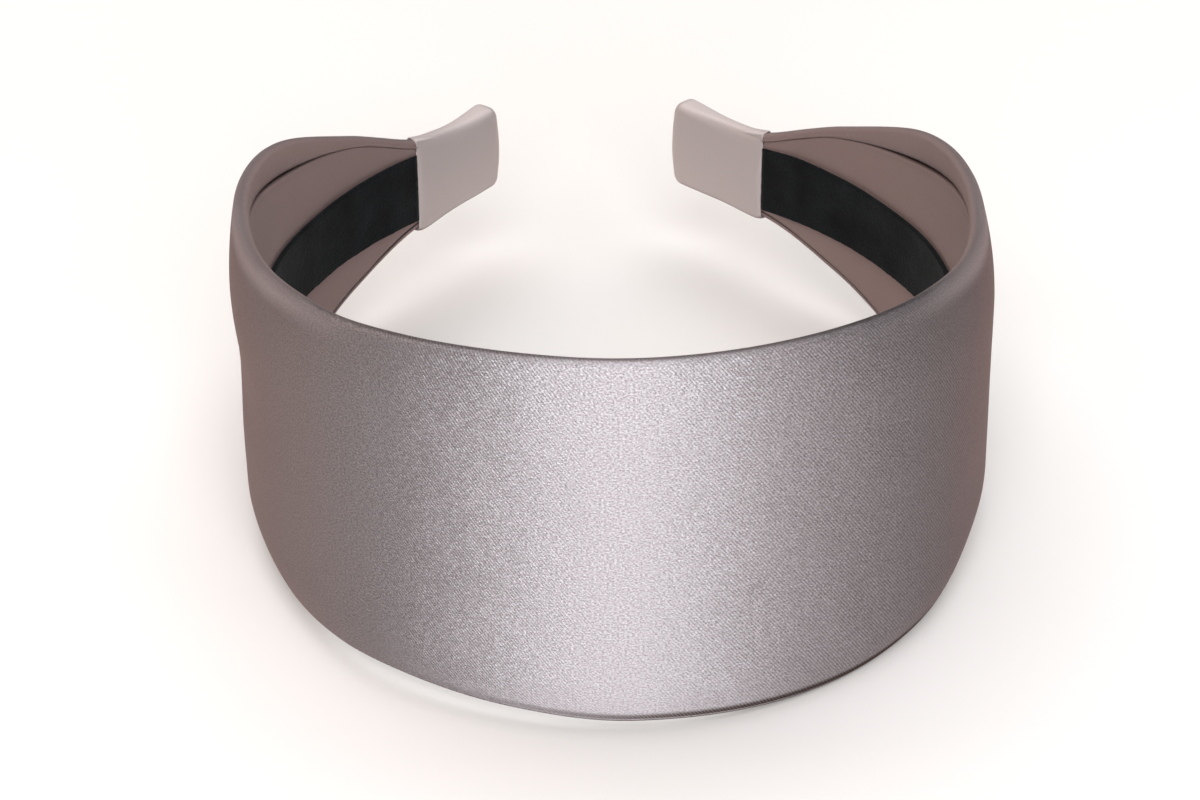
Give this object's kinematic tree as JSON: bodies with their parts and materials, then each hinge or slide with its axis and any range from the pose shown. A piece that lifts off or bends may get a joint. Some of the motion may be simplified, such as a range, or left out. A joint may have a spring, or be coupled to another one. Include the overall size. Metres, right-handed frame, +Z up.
{
  "type": "headband",
  "caption": "Wide padded satin headband, open at the back, with narrow tips in satin sleeves, a thin lining and a velvet grip strip along the inside.",
  "frame": {"origin": "on the surface that the band rests on, under the middle of the whole band's box", "axes": "+Z up across the band's height, -Y from the middle towards the crown, +Y towards the open back and the tips, +X across the head"},
  "size_m": [0.1256, 0.1512, 0.0639],
  "materials": {
    "cover_satin": "mauve duchess satin",
    "lining_satin": "dull taupe satin lining",
    "velvet": "matt black velvet ribbon",
    "wrap_satin": "lighter mauve satin"
  },
  "bodies": {
    "root": {"satin_cover": "cover_satin", "lining": "lining_satin", "grip_strip": "velvet", "tip_wrap_left": "wrap_satin", "tip_wrap_right": "wrap_satin"}
  },
  "joints": []
}
